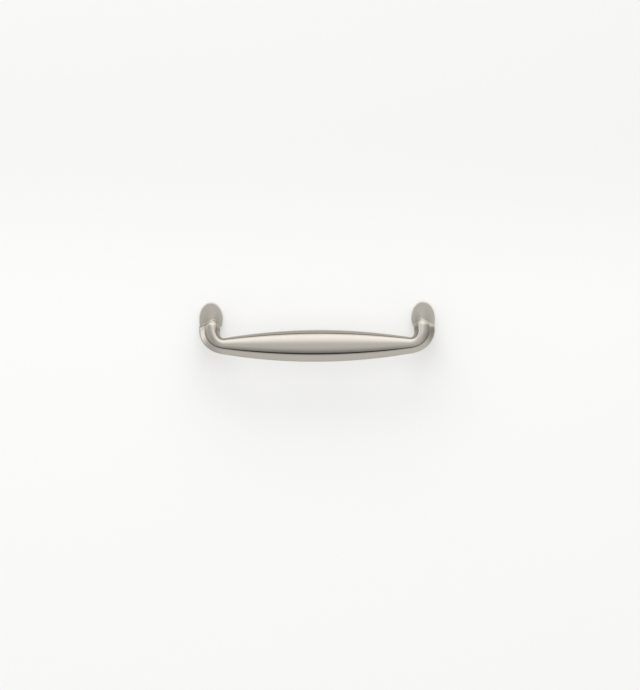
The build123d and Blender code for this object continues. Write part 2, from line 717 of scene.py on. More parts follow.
                # Painted highlight on the outer rim beside the crease
                marked["edge"][row] = self.rim_highlight * share**2
                marked["outer_rim"][row] = 1.0
            elif band is Band.INNER_RIM:
                marked["crease"][row] = math.exp(-share / self.inner_rim_crease)
                marked["inner_rim"][row] = 1.0
            elif band in (Band.OUTER_EDGE, Band.INNER_EDGE):
                rim = "outer_rim" if band is Band.OUTER_EDGE else "inner_rim"
                marked["edge"][row] = self.edge_wear * math.sin(math.pi * share)
                marked[rim][row] = 1.0
        marked["crease"] = np.minimum(marked["crease"], 1.0)
        return marked


@dataclass(frozen=True)
class Foot:
    """One oval foot with its tapped screw hole, in millimetres.

    Attributes:
        half_width: Half of the oval's width.
        half_height: Half of the oval's height.
        thickness: Thickness of the foot.
        edge_round: Radius round its front edge.
        centre_rise: Height of the oval's centre over the screw hole.
        roundness: Power of the oval, where 2 gives an ellipse.
        fullness: Power of its lower outer quarter, which runs straight into the leg.
        search_steps: Halvings in the search for the oval along a ray.
        hole_radius: Radius of the hole behind the thread.
        hole_depth: Depth of the hole.
        mouth_radius: Radius of the hole's mouth.
        mouth_depth: Depth of the chamfer at the mouth.
        floor_shares: Shares of the hole's radius that have a ring on its floor.
        wall_rings: Rings along the hole's wall.
        round_rings: Rings over the round of the front edge.
        floor_border: Width of the narrow band of faces up the wall from the floor.
        mouth_border: Width of such a band round the mouth.
        back_border: Width of such a band round the back face.
        back_edge: Width of such a band up the side from the back face.
        front_border: Width of such a band round the front face.
        fillet_border: How far inside the front face's edge the leg's fillet stops.
    """

    half_width: float = 5.6
    half_height: float = 7.7
    thickness: float = 2.2
    edge_round: float = 0.5
    centre_rise: float = 4.2
    roundness: float = 2.0
    fullness: float = 3.2
    search_steps: int = 40
    hole_radius: float = 2.05
    hole_depth: float = 10.98
    mouth_radius: float = 2.15
    mouth_depth: float = 0.12
    floor_shares: Tuple[float, ...] = (0.02, 0.5, 0.97, 1.0)
    wall_rings: int = 8
    round_rings: int = 7
    floor_border: float = 0.1
    mouth_border: float = 0.15
    back_border: float = 0.2
    back_edge: float = 0.15
    front_border: float = 0.12
    fillet_border: float = 0.16

    def oval(self, rays: np.ndarray, centre: float, shrink: float, rise: float) -> np.ndarray:
        """Finds where rays from the leg's middle meet the foot's oval.

        Args:
            rays: Angle of each ray.
            centre: Height that the rays start at, from the leg's rim line.
            shrink: How far inside the full oval the points lie.
            rise: Height of the rim line over the screw hole.

        Returns:
            Distance along each ray.
        """
        wide, high = self.half_width - shrink, self.half_height - shrink
        start = centre - (self.centre_rise - rise)
        near, far = np.zeros(len(rays)), np.full(len(rays), 2 * high)
        for _ in range(self.search_steps):
            reach = (near + far) / 2
            across, up = reach * np.cos(rays), start + reach * np.sin(rays)
            power = np.where((across < 0) & (up < 0), self.fullness, self.roundness)
            inside = np.abs(across / wide) ** power + np.abs(up / high) ** power < 1
            near, far = np.where(inside, reach, near), np.where(inside, far, reach)
        return far

    def edge_path(self) -> List[Tuple[float, float]]:
        """Follows the foot's outside from its back face over its rounded edge to its front face.

        Returns:
            For each ring, how far inside the full oval it lies and how far it stands out.
        """
        path = [(self.back_border, 0.0), (0.0, 0.0), (0.0, self.back_edge)]
        for turn in QUARTER_TURN * np.linspace(0, 1, self.round_rings):
            inset = self.edge_round * (1 - math.cos(turn))
            path.append((inset, self.thickness - self.edge_round * (1 - math.sin(turn))))
        return [*path, (self.edge_round + self.front_border, self.thickness)]


@dataclass(frozen=True)
class WearAndPaintedLight:
    """How strong the finish's painted shade, painted highlights and edge marks are at one place along
    the casting, from 0 to 1.

    Attributes:
        stretch: The stretch of rings that the place lies on.
        step: How many rings past the stretch's start.
        crease: Darkness of the painted shade in the creases.
        edge: Brightness of the rubbed edges, and of the painted highlight on the outer rim beside the
            crease.
        crown: Brightness of the painted highlight on the crest.
        outer_rim: Strength of the painted shade on the outer rim.
        flank: Strength of the painted shade on the dome's outer flank.
        crest: Strength of the painted shade on the dome's crest.
        inner_rim: Strength of the painted shade on the inner rim.
    """

    stretch: Stretch
    step: int
    crease: float = 0.0
    edge: float = 0.0
    crown: float = 0.0
    outer_rim: float = 0.0
    flank: float = 0.0
    crest: float = 0.0
    inner_rim: float = 0.0


@dataclass
class Casting:
    """The whole pull: two feet, two legs and the bar, as one skin of rings, in millimetres.

    The rings stand in unrolled space, where the leg and the bar hang straight down below the foot.
    The rim line is the section's middle, at the depth where the dome starts from the rims. A drop
    is a distance down along it from the elbow's corner.

    Attributes:
        finish: The metal's finish.
        foot_distance: Distance of a screw hole from the middle.
        rim_front: Depth of the bar's rim line.
        leg_rise: Height of the rim line over the screw hole on the leg.
        leg_drop: Straight length of the leg under the elbow.
        corner_radius: Radius of the corner.
        lean: How far the leg leans out on its way down to the bar.
        elbow_setback: How far from the elbow's corner the solid's elbow begins and ends.
        outer_bend: Radius of the elbow's bend at the rim line.
        inner_bend: Radius that the bend keeps behind it.
        bend_blend: How softly one radius goes over to the other.
        root_fillet: Radius of the fillet round the leg's root.
        root_shift: How far outward the leg's root lies.
        climb_top: Drop at which the outer rim starts to turn down and the crest to move inward.
        rim_turn: Length that both take, less the drop at the corner's start.
        crest_return: Share of the crest's shift that is missing above there.
        taper_gain: How many times sooner than at the elbow the leg has its own section.
        leg_middle: Height of the leg's middle, from the rim line.
        join_drop: Drop at which all points of a ring lie level again, under the elbow.
        foot: The foot and its hole.
        outline: The cross section's outline.
        root: Section where the leg meets the foot.
        leg: Section of the leg.
        waist: Section at the corner's end.
        middle: Section at the middle of the bar.
        settle_rounds: Rounds in which a ring's sizes settle.
        fillet_steps: Rings over the fillet.
        run_steps: Rings from the fillet to the elbow.
        elbow_steps: Rings round the elbow.
        fall_steps: Rings between the elbow and the drop at which they join.
        corner_steps: Rings round the corner.
        bar_steps: Rings along half of the bar.
        merge_distance: Distance within which points of the two halves are joined.
        sharp_angle: Angle between two faces from which their edge is sharp, in degrees.
        foot_painted_shade: Strength of the painted shade over the whole foot.
        wear_and_painted_light: How strong the finish's painted shade, painted highlights and edge marks
            are along the casting.
    """

    finish: MetalFinish
    foot_distance: float = 50.8
    rim_front: float = -22.9
    leg_rise: float = 1.8
    leg_drop: float = 2.0
    corner_radius: float = 7.2
    lean: float = 1.2
    elbow_setback: float = 1.85
    outer_bend: float = 0.8
    inner_bend: float = 1.5
    bend_blend: float = 0.8
    root_fillet: float = 0.8
    root_shift: float = 0.3
    climb_top: float = -1.0
    rim_turn: float = 2.5
    crest_return: float = 0.5
    taper_gain: float = 1.35
    leg_middle: float = -1.1
    join_drop: float = 6.6
    foot: Foot = field(default_factory=Foot)
    outline: Outline = field(default_factory=Outline)
    root: Section = Section(
        width=9.2,
        outer_rim=2.8,
        inner_rim=2.0,
        outer_fall=0.8,
        inner_fall=0.7,
        dome_height=1.5,
        crest_shift=0.65,
        back_depth=4.55,
    )
    leg: Section = Section(
        width=9.9,
        outer_rim=2.8,
        inner_rim=2.0,
        outer_fall=2.0,
        inner_fall=0.7,
        dome_height=1.5,
        crest_shift=0.65,
        back_depth=4.3,
    )
    waist: Section = Section(
        width=7.9,
        outer_rim=2.9,
        inner_rim=0.75,
        outer_fall=0.35,
        inner_fall=0.1,
        dome_height=1.5,
        crest_shift=0.0,
        back_depth=3.8,
    )
    middle: Section = Section(
        width=15.1,
        outer_rim=3.7,
        inner_rim=1.6,
        outer_fall=0.25,
        inner_fall=0.1,
        dome_height=2.5,
        crest_shift=0.0,
        back_depth=3.8,
    )
    settle_rounds: int = 4
    fillet_steps: int = 7
    run_steps: int = 16
    elbow_steps: int = 18
    fall_steps: int = 8
    corner_steps: int = 24
    bar_steps: int = 60
    merge_distance: float = 0.002
    sharp_angle: float = 40.0
    foot_painted_shade: float = 0.15
    # Painted shade and painted highlights along the casting, with the edges' brightening
    wear_and_painted_light: Tuple[WearAndPaintedLight, ...] = (
        WearAndPaintedLight(Stretch.ROOT, -1),
        WearAndPaintedLight(Stretch.ROOT, 0, outer_rim=0.5, flank=0.5, crest=0.5, inner_rim=0.7),
        WearAndPaintedLight(Stretch.RUN, 8, crease=0.1, outer_rim=0.5, flank=0.7, crest=0.7, inner_rim=0.9),
        WearAndPaintedLight(Stretch.ELBOW, 4, crease=0.15, outer_rim=0.4, flank=0.5, crest=0.3, inner_rim=0.9),
        WearAndPaintedLight(
            Stretch.ELBOW, 11, crease=0.2, crown=0.1, outer_rim=0.3, flank=0.4, crest=0.1, inner_rim=0.9
        ),
        WearAndPaintedLight(
            Stretch.FALL, 1, crease=0.3, edge=0.2, crown=0.2, outer_rim=0.2, flank=0.45, inner_rim=0.9
        ),
        WearAndPaintedLight(Stretch.FALL, 6, crease=0.5, edge=0.8, crown=0.1, flank=0.45, inner_rim=1.0),
        WearAndPaintedLight(Stretch.CORNER, 17, crease=0.8, edge=1.0, flank=0.1, inner_rim=1.0),
        WearAndPaintedLight(Stretch.BAR, 13, crease=1.0, edge=1.0, outer_rim=0.06, inner_rim=0.5),
    )

    @property
    def corner_length(self) -> float:
        """Length of the rim line round one corner."""
        return self.corner_radius * QUARTER_TURN

    @property
    def half_bar(self) -> float:
        """Length of the bar from a corner's end to the middle."""
        return self.foot_distance - self.corner_radius

    @property
    def lean_length(self) -> float:
        """Length of the rim line over which the leg leans out to the bar."""
        return self.leg_drop + self.corner_length

    @property
    def elbow_end(self) -> float:
        """Drop at which the leg leaves the elbow."""
        return self.elbow_setback * (1 - math.sin(math.atan2(2 * self.lean, self.lean_length)))

    @property
    def corner_start(self) -> float:
        """Drop at which the leg starts to turn inward."""
        return self.elbow_end + self.leg_drop

    def sizes_at(self, drop: np.ndarray) -> np.ndarray:
        """Gives the section's sizes down the leg, round the corner and along the bar.

        Args:
            drop: Drop of each point.

        Returns:
            One row of section sizes a point.
        """
        leg, waist, middle = self.leg.sizes(), self.waist.sizes(), self.middle.sizes()
        share = np.clip((drop - self.corner_start) / self.corner_length, 0, 1)[:, None]
        end_slope = 2 * (middle - waist) * self.corner_length / self.half_bar
        corner = leg + (waist - leg) * ease(share) + end_slope * (share**3 - share**2)
        # On top of the elbow the outer rim is nearly level and the crest shifted less
        climbed = (drop - self.climb_top) / (self.corner_start + self.rim_turn)
        climb = ease(1 - np.clip(climbed, 0, 1))
        corner[:, OUTER_FALL] -= (self.leg.outer_fall - self.root.outer_fall) * climb
        corner[:, CREST_SHIFT] *= 1 - self.crest_return * climb
        gone = (drop - self.corner_start - self.corner_length) / self.half_bar
        rest = 1 - np.clip(gone, 0, 1)[:, None]
        bar = middle + (waist - middle) * rest**2
        return np.where(gone[:, None] > 0, bar, corner)

    def lean_at(self, drop: np.ndarray) -> np.ndarray:
        """Says how far behind the bar's rim line the leg stands.

        Args:
            drop: Drop of each point.

        Returns:
            The distance back, one for each point.
        """
        rest = 1 - np.minimum((drop - self.elbow_end) / self.lean_length, 1)
        return self.lean * rest**2

    def bend_radius(self, front: np.ndarray) -> np.ndarray:
        """Gives the elbow's radius: tight at the rim line, and never under the inner bend.

        Args:
            front: How far to the front of the rim line each point lies.

        Returns:
            The radius for each point.
        """
        outer = self.outer_bend + front
        gap = outer - self.inner_bend
        return (outer + self.inner_bend + np.sqrt(gap**2 + self.bend_blend**2)) / 2

    def shape_at(self, drop: np.ndarray, taper: float = 1.0) -> np.ndarray:
        """Gives the outline's points.

        Args:
            drop: Drop of each point.
            taper: How far the leg has gone over from its root's section to its own, from 0 to 1.

        Returns:
            One row a point: how far inward and how far to the front it lies.
        """
        root = self.root.sizes()
        points = self.outline.points(root + (self.sizes_at(drop) - root) * taper)
        return points - np.array((self.root_shift * (1 - taper), 0.0))

    def settle(
        self, fall: Callable[[np.ndarray], np.ndarray], taper: float = 1.0
    ) -> Tuple[np.ndarray, np.ndarray]:
        """Fits a ring's shape to the drop of its points, which the shape itself decides.

        Args:
            fall: Gives the drop of each point for how far to the front it lies.
            taper: How far the leg has gone over to its own section.

        Returns:
            The outline's points and their drops.
        """
        drop = np.zeros(len(self.outline.places()))
        for _ in range(self.settle_rounds):
            points = self.shape_at(drop, taper)
            drop = fall(points[:, 1])
        return points, drop

    def flat_ring(self, rays: np.ndarray, reach: Number, centre: float, depth: float) -> np.ndarray:
        """Sets out a ring of the foot along rays.

        Args:
            rays: Angle of each ray.
            reach: Distance along the rays.
            centre: Height that the rays start at, from the leg's rim line.
            depth: How far the ring stands out from the drawer front.

        Returns:
            One row a point, in unrolled space: inward, depth and up.
        """
        across, up = reach * np.cos(rays), reach * np.sin(rays) + centre
        return np.column_stack((across, np.full(len(rays), -depth), up))

    def hung_ring(self, points: np.ndarray, drop: np.ndarray) -> np.ndarray:
        """Hangs an outline in front of the drawer front, on the leg or the bar.

        Args:
            points: The outline's points.
            drop: Drop of each point.

        Returns:
            One row a point, in unrolled space: inward, depth and up.
        """
        depth = self.rim_front + self.lean_at(drop) - points[:, 1]
        return np.column_stack((points[:, 0], depth, -drop))

    def foot_rings(self, rays: np.ndarray) -> List[np.ndarray]:
        """Builds the foot from the floor of its screw hole round to its front face.

        Args:
            rays: Angle of each ray from the leg's middle.

        Returns:
            The rings in order.
        """
        foot = self.foot
        floor = [(foot.hole_radius * share, foot.hole_depth) for share in foot.floor_shares]
        wall_start = foot.hole_depth - foot.floor_border
        wall = [
            (foot.hole_radius, depth)
            for depth in np.linspace(wall_start, foot.mouth_depth, foot.wall_rings)
        ]
        mouth = [(foot.mouth_radius, 0.0), (foot.mouth_radius + foot.mouth_border, 0.0)]
        rings = [
            self.flat_ring(rays, radius, -self.leg_rise, depth)
            for radius, depth in (*floor, *wall, *mouth)
        ]
        for inset, depth in foot.edge_path():
            reach = foot.oval(rays, self.leg_middle, inset, self.leg_rise)
            rings.append(self.flat_ring(rays, reach, self.leg_middle, depth))
        return rings

    def root_rings(self) -> List[np.ndarray]:
        """Builds the foot, and the fillet from its front face to the leg.

        Returns:
            The rings in order.
        """
        foot = self.foot
        root = self.shape_at(np.zeros(len(self.outline.places())), taper=0.0)
        outward = root - np.array((0.0, self.leg_middle))
        distance = np.linalg.norm(outward, axis=1)
        rays = np.arctan2(outward[:, 1], outward[:, 0])
        inset = foot.edge_round + foot.fillet_border
        limit = foot.oval(rays, self.leg_middle, inset, self.leg_rise)
        rings = self.foot_rings(rays)
        for turn in QUARTER_TURN * np.linspace(0, 1, self.fillet_steps):
            reach = np.minimum(distance + self.root_fillet * (1 - math.sin(turn)), limit)
            depth = foot.thickness + self.root_fillet * (1 - math.cos(turn))
            rings.append(self.flat_ring(rays, reach, self.leg_middle, depth))
        return rings

    def run_rings(self) -> List[np.ndarray]:
        """Builds the leg from its fillet out to the elbow. Each point ends where its bend begins.

        Returns:
            The rings in order.
        """
        start = -self.foot.thickness - self.root_fillet
        rings = []
        for share in step_ends(self.run_steps):
            taper = min(1.0, self.taper_gain * share)
            points, drop = self.settle(lambda front: -front, taper)
            finish = self.rim_front + self.lean_at(drop) + self.bend_radius(points[:, 1]) + drop
            rings.append(np.column_stack((points[:, 0], start + (finish - start) * share, -drop)))
        return rings

    def elbow_rings(self) -> List[np.ndarray]:
        """Builds the elbow, each point with its own radius.

        Returns:
            The rings in order.
        """
        rings = []
        for turn in QUARTER_TURN * step_ends(self.elbow_steps):
            points, drop = self.settle(
                lambda front: self.bend_radius(front) * (1 - math.cos(turn)) - front
            )
            back = self.bend_radius(points[:, 1]) * (1 - math.sin(turn))
            rings.append(self.hung_ring(points, drop) + np.outer(back, (0.0, 1.0, 0.0)))
        return rings

    def fall_rings(self) -> List[np.ndarray]:
        """Builds the leg under the elbow, to where all points of a ring have one drop again.

        Returns:
            The rings in order.
        """
        rings, join = [], self.join_drop
        for share in step_ends(self.fall_steps):
            points, drop = self.settle(
                lambda front: (self.bend_radius(front) - front) * (1 - share) + join * share
            )
            rings.append(self.hung_ring(points, drop))
        return rings

    def bar_rings(self) -> List[np.ndarray]:
        """Builds the corner and half of the bar.

        Returns:
            The rings in order.
        """
        corner_end = self.corner_start + self.corner_length
        corner = self.join_drop + (corner_end - self.join_drop) * step_ends(self.corner_steps)
        bar = corner_end + self.half_bar * step_ends(self.bar_steps)
        drops = [np.full(len(self.outline.places()), place) for place in (*corner, *bar)]
        return [self.hung_ring(self.shape_at(drop), drop) for drop in drops]

    def half_rings(self) -> Tuple[List[np.ndarray], List[float]]:
        """Builds every ring of the left half, with the bar still hanging straight down.

        Returns:
            The rings in unrolled space, and how far each takes part in the corner's bend.
        """
        root, run = self.root_rings(), self.run_rings()
        hung = [*self.elbow_rings(), *self.fall_rings(), *self.bar_rings()]
        bends = [*np.zeros(len(root)), *ease(step_ends(self.run_steps)), *np.ones(len(hung))]
        return [*root, *run, *hung], bends

    def starts(self, count: int) -> Dict[Stretch, int]:
        """Counts the ring that each stretch starts from.

        Args:
            count: Number of rings in the half.

        Returns:
            The ring's index, for each stretch.
        """
        steps = {
            Stretch.RUN: self.run_steps,
            Stretch.ELBOW: self.elbow_steps,
            Stretch.FALL: self.fall_steps,
            Stretch.CORNER: self.corner_steps,
            Stretch.BAR: self.bar_steps,
        }
        place = count - 1 - sum(steps.values())
        starts = {Stretch.ROOT: place - self.fillet_steps + 1}
        for stretch, step in steps.items():
            starts[stretch] = place
            place += step
        return starts

    def finish_marks(self, count: int) -> Dict[str, np.ndarray]:
        """Works out the marks that the finish reads.

        Args:
            count: Number of rings in the half.

        Returns:
            For each mark, one row a ring with its strength at every point.
        """
        starts, marks = self.starts(count), self.outline.marks()
        stops = [starts[wear_and_painted_light.stretch] + wear_and_painted_light.step for wear_and_painted_light in self.wear_and_painted_light]

        def along(name: str) -> np.ndarray:
            """Spreads one of the listed levels over all the rings, as a column."""
            levels = [getattr(wear_and_painted_light, name) for wear_and_painted_light in self.wear_and_painted_light]
            return np.interp(np.arange(count), stops, levels)[:, None]

        # Painted shade over the rims, the dome's flank and crest, and the whole foot
        shaded = ("outer_rim", "flank", "crest", "inner_rim")
        painted_shade = sum(along(name) * marks[name] for name in shaded)
        painted_shade[: starts[Stretch.ROOT]] = self.foot_painted_shade
        return {
            "crease": along("crease") * marks["crease"],
            # The edge mark also carries the painted highlight on the crest
            "edge": along("edge") * marks["edge"] + along("crown") * marks["crest"],
            "painted_shade": painted_shade,
        }

    def half_mesh(self) -> bpy.types.Mesh:
        """Makes the unrolled left half as a mesh with its bend and the finish's marks.

        Returns:
            The mesh, in metres.
        """
        rings, bends = self.half_rings()
        count = len(rings[0])
        verts = np.concatenate(rings) * MM
        faces = []
        for low in range(0, len(verts) - count, count):
            for step in range(count):
                after, high = (step + 1) % count, low + count
                faces.append((high + step, high + after, low + after, low + step))
        faces.append(tuple(range(count)))
        mesh = bpy.data.meshes.new("half_casting")
        mesh.from_pydata(verts.tolist(), [], faces)
        columns = {"bend": np.repeat(bends, count), **self.finish_marks(len(rings))}
        for name, values in columns.items():
            attribute = mesh.attributes.new(name, "FLOAT", "POINT")
            attribute.data.foreach_set("value", values.ravel().astype(np.float32))
        return mesh

    def bent_place(self, wires: Wires, entry: bpy.types.Node) -> bpy.types.NodeSocket:
        """Works out where each point lies once the path is bent round its corner.

        Args:
            wires: The tree's wires.
            entry: The tree's input node.

        Returns:
            The place, part of the way from the straight path to the bent one.
        """
        sizes = entry.outputs
        spot = wires.node("GeometryNodeInputPosition").outputs[0]
        inward, depth, height = wires.node("ShaderNodeSeparateXYZ", {0: spot}).outputs
        left = wires.math("MULTIPLY", sizes["Foot Distance"], -1.0)
        radius = sizes["Corner Radius"]
        corner_length = wires.math("MULTIPLY", radius, QUARTER_TURN)
        drop = wires.math("MULTIPLY", height, -1.0)
        past_leg = wires.math("SUBTRACT", drop, sizes["Leg Drop"])
        turned = wires.math("MINIMUM", wires.math("MAXIMUM", past_leg, 0.0), corner_length)
        angle = wires.math("DIVIDE", turned, radius)
        cosine, sine = wires.math("COSINE", angle), wires.math("SINE", angle)
        # The rim line's place: swung round the corner and on along the bar, and fallen down the leg
        along_bar = wires.math("MAXIMUM", wires.math("SUBTRACT", past_leg, corner_length), 0.0)
        swung = wires.math("MULTIPLY", radius, wires.math("SUBTRACT", 1.0, cosine))
        rim_across = wires.math("ADD", left, wires.math("ADD", swung, along_bar))
        fallen = wires.math("MINIMUM", drop, sizes["Leg Drop"])
        leg_up = wires.math("SUBTRACT", sizes["Leg Rise"], fallen)
        rim_up = wires.math("SUBTRACT", leg_up, wires.math("MULTIPLY", radius, sine))
        bent = {
            "X": wires.math("ADD", rim_across, wires.math("MULTIPLY", inward, cosine)),
            "Y": depth,
            "Z": wires.math("ADD", rim_up, wires.math("MULTIPLY", inward, sine)),
        }
        straight = {
            "X": wires.math("ADD", left, inward),
            "Y": depth,
            "Z": wires.math("ADD", sizes["Leg Rise"], height),
        }
        ends = [wires.node("ShaderNodeCombineXYZ", feeds).outputs[0] for feeds in (straight, bent)]
        share = wires.node("GeometryNodeInputNamedAttribute", {"Name": "bend"}, data_type="FLOAT")
        return wires.mix(Blend.VECTOR, share.outputs["Attribute"], *ends)

    def bending_tree(self) -> bpy.types.NodeTree:
        """Builds the tree that bends the half round its corner and mirrors it.

        Returns:
            The geometry node tree, with the path's sizes as named inputs.
        """
        wires, entry = new_group(
            "bend_and_mirror",
            "GeometryNodeTree",
            {
                "Geometry": SocketKind.GEOMETRY,
                "Foot Distance": SocketKind.FLOAT,
                "Leg Rise": SocketKind.FLOAT,
                "Leg Drop": SocketKind.FLOAT,
                "Corner Radius": SocketKind.FLOAT,
                "Merge Distance": SocketKind.FLOAT,
                "Sharp Angle": SocketKind.FLOAT,
                "Finish": SocketKind.MATERIAL,
            },
            {"Geometry": SocketKind.GEOMETRY},
        )
        feeds = {"Geometry": entry.outputs["Geometry"], "Position": self.bent_place(wires, entry)}
        half = wires.node("GeometryNodeSetPosition", feeds).outputs[0]
        feeds = {"Geometry": half, "Scale": (-1.0, 1.0, 1.0)}
        other = wires.node("GeometryNodeTransform", feeds).outputs[0]
        flipped = wires.node("GeometryNodeFlipFaces", {"Mesh": other}).outputs[0]
        both = wires.node("GeometryNodeJoinGeometry", {0: flipped})
        wires.feed(both.inputs[0], half)
        feeds = {"Geometry": both.outputs[0], "Distance": entry.outputs["Merge Distance"]}
        merged = wires.node("GeometryNodeMergeByDistance", feeds).outputs[0]
        faces = wires.node("GeometryNodeSetShadeSmooth", {"Geometry": merged}, domain="FACE")
        turn = wires.node("GeometryNodeInputMeshEdgeAngle").outputs["Unsigned Angle"]
        feeds = {0: turn, 1: entry.outputs["Sharp Angle"]}
        gentle = wires.node("FunctionNodeCompare", feeds, operation="LESS_THAN").outputs[0]
        feeds = {"Geometry": faces.outputs[0], "Shade Smooth": gentle}
        edges = wires.node("GeometryNodeSetShadeSmooth", feeds, domain="EDGE")
        wires.hand_over(edges.outputs[0], entry)
        return wires.tree

    def build(self, group: bpy.types.NodeTree) -> bpy.types.Object:
        """Makes the finished casting.

        Args:
            group: The shared group for brushed grain.

        Returns:
            The casting's object, at the origin.
        """
        obj = add_object("pull_casting", self.half_mesh())
        values = {
            "Foot Distance": self.foot_distance * MM,
            "Leg Rise": self.leg_rise * MM,
            "Leg Drop": self.corner_start * MM,
            "Corner Radius": self.corner_radius * MM,
            "Merge Distance": self.merge_distance * MM,
            "Sharp Angle": math.radians(self.sharp_angle),
            "Finish": self.finish.material(group),
        }
        grow(obj, self.bending_tree(), values)
        return obj


@dataclass
class HoleThreads:
    """The screw threads cut in both screw holes, in millimetres.

    Attributes:
        finish: The metal's finish.
        foot_distance: Distance of a screw hole from the middle.
        pitch: Height of one turn.
        crest_radius: Radius at the thread's crest.
        root_radius: Radius behind the thread.
        start_depth: Depth at which the thread starts.
        turns: Number of turns.
        steps: Steps in a turn.
        ridge_sides: Sides of the thread's ridge.
        shown_radii: How many radii of the ridge stand out of the wall.
    """

    finish: MetalFinish
    foot_distance: float = 50.8
    pitch: float = 0.794
    crest_radius: float = 1.75
    root_radius: float = 2.06
    start_depth: float = 0.6
    turns: float = 12.0
    steps: int = 40
    ridge_sides: int = 6
    shown_radii: float = 1.5

    def thread_tree(self) -> bpy.types.NodeTree:
        """Builds the tree that winds one thread and places it in both holes.

        Returns:
            The geometry node tree, with the thread's sizes as named inputs.
        """
        wires, entry = new_group(
            "wind_threads",
            "GeometryNodeTree",
            {
                "Geometry": SocketKind.GEOMETRY,
                "Ridge Radius": SocketKind.FLOAT,
                "Ridge Size": SocketKind.FLOAT,
                "Ridge Sides": SocketKind.INTEGER,
                "Turns": SocketKind.FLOAT,
                "Length": SocketKind.FLOAT,
                "Steps": SocketKind.INTEGER,
                "Finish": SocketKind.MATERIAL,
            },
            {"Geometry": SocketKind.GEOMETRY},
        )
        sizes = entry.outputs
        feeds = {
            "Resolution": sizes["Steps"],
            "Rotations": sizes["Turns"],
            "Start Radius": sizes["Ridge Radius"],
            "End Radius": sizes["Ridge Radius"],
            "Height": sizes["Length"],
        }
        helix = wires.node("GeometryNodeCurveSpiral", feeds).outputs[0]
        feeds = {"Resolution": sizes["Ridge Sides"], "Radius": sizes["Ridge Size"]}
        ridge = wires.node("GeometryNodeCurvePrimitiveCircle", feeds, mode="RADIUS").outputs[0]
        feeds = {"Curve": helix, "Profile Curve": ridge, "Fill Caps": True}
        wound = wires.node("GeometryNodeCurveToMesh", feeds).outputs[0]
        smooth = wires.node("GeometryNodeSetShadeSmooth", {"Geometry": wound}).outputs[0]
        feeds = {"Geometry": smooth, "Rotation": (QUARTER_TURN, 0.0, 0.0)}
        turned = wires.node("GeometryNodeTransform", feeds).outputs[0]
        feeds = {"Points": sizes["Geometry"], "Instance": turned}
        placed = wires.node("GeometryNodeInstanceOnPoints", feeds).outputs[0]
        wires.hand_over(placed, entry)
        return wires.tree

    def build(self, group: bpy.types.NodeTree) -> bpy.types.Object:
        """Makes the threads of both holes.

        Args:
            group: The shared group for brushed grain.

        Returns:
            The threads' object, at the origin.
        """
        mouths = [(side * self.foot_distance * MM, -self.start_depth * MM, 0.0) for side in (-1, 1)]
        points = bpy.data.meshes.new("hole_mouths")
        points.from_pydata(mouths, [], [])
        obj = add_object("hole_threads", points)
        ridge = (self.root_radius - self.crest_radius) / self.shown_radii
        values = {
            "Ridge Radius": (self.crest_radius + ridge) * MM,
            "Ridge Size": ridge * MM,
            "Ridge Sides": self.ridge_sides,
            "Turns": self.turns,
            "Length": self.turns * self.pitch * MM,
            "Steps": self.steps,
            "Finish": self.finish.material(group),
        }
        grow(obj, self.thread_tree(), values)
        return obj


# Studio


@dataclass(frozen=True)
class Lamp:
    """One soft area lamp, in metres and watts.

    Attributes:
        name: The lamp's name.
        place: Where it hangs.
        size: Its width and height.
        power: Its power.
        colour: Colour of its light.
        in_gloss: Whether the metal mirrors it.
    """

    name: str
    place: Tuple[float, float, float]
    size: Tuple[float, float]
    power: float
    colour: Colour = (1.0, 1.0, 1.0)
    in_gloss: bool = False

    def build(self, target: Vector) -> bpy.types.Object:
        """Hangs the lamp so that it faces a point.

        Args:
            target: The point it faces.

        Returns:
            The lamp's object.
        """
        light = bpy.data.lights.new(self.name, "AREA")
        light.shape = "RECTANGLE"
        light.size, light.size_y = self.size
        light.energy = self.power
        light.color = self.colour
        obj = add_object(self.name, light)
        obj.location = self.place
        obj.rotation_euler = (target - obj.location).to_track_quat("-Z", "Y").to_euler()
        obj.visible_glossy = self.in_gloss
        return obj


